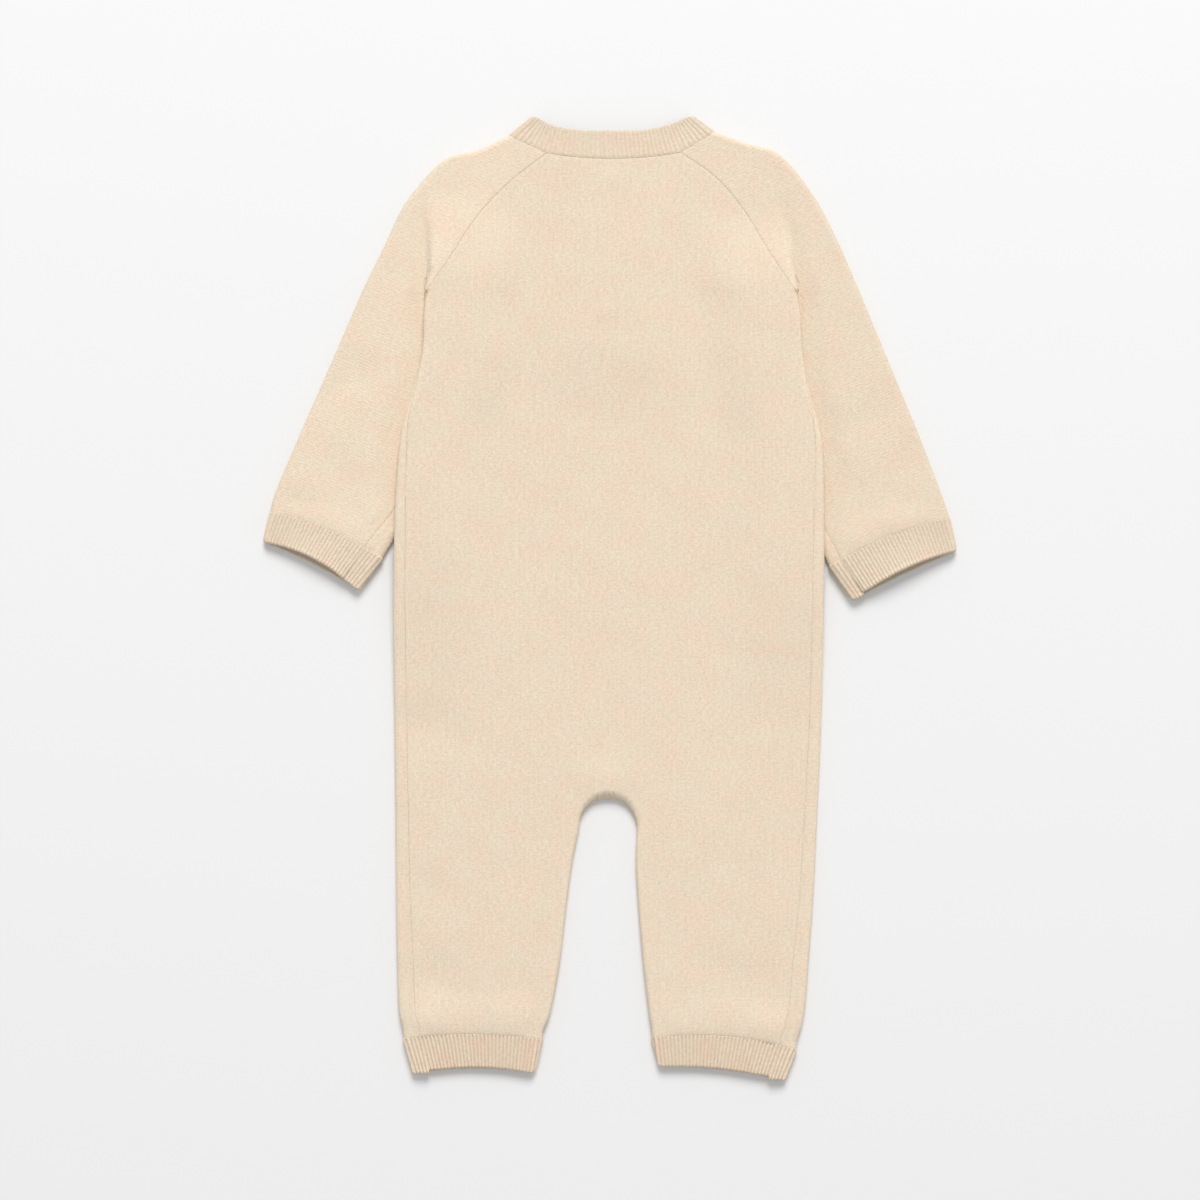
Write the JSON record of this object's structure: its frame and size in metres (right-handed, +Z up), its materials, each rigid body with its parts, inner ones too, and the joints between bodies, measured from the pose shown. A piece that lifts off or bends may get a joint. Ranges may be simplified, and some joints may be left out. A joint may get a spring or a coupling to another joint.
{
  "type": "knitted baby sleepsuit",
  "caption": "Long-sleeved raglan baby sleepsuit in fine beige knit, laid flat on its front, with ribbed neckband, cuffs and leg bands and a buttoned front placket.",
  "frame": {"origin": "middle of the laid-out garment in plan, on the surface it lies on", "axes": "+X to the wearer's right, which is the viewer's right from above, +Y from the legs to the neck, +Z up from the surface"},
  "size_m": [0.3944, 0.5487, 0.0107],
  "materials": {
    "jersey": "fine heather cotton knit",
    "rib": "1x1 rib in the same yarn",
    "button": "satin"
  },
  "bodies": {
    "root": {"back": "jersey", "front": "jersey", "sleeve_left": "jersey", "sleeve_right": "jersey", "neckband": "rib", "cuff_left": "rib", "cuff_right": "rib", "leg_band_left": "rib", "leg_band_right": "rib", "placket_over": "rib", "placket_under": "rib", "button_1": "button", "button_2": "button", "button_3": "button", "button_4": "button"}
  },
  "joints": []
}
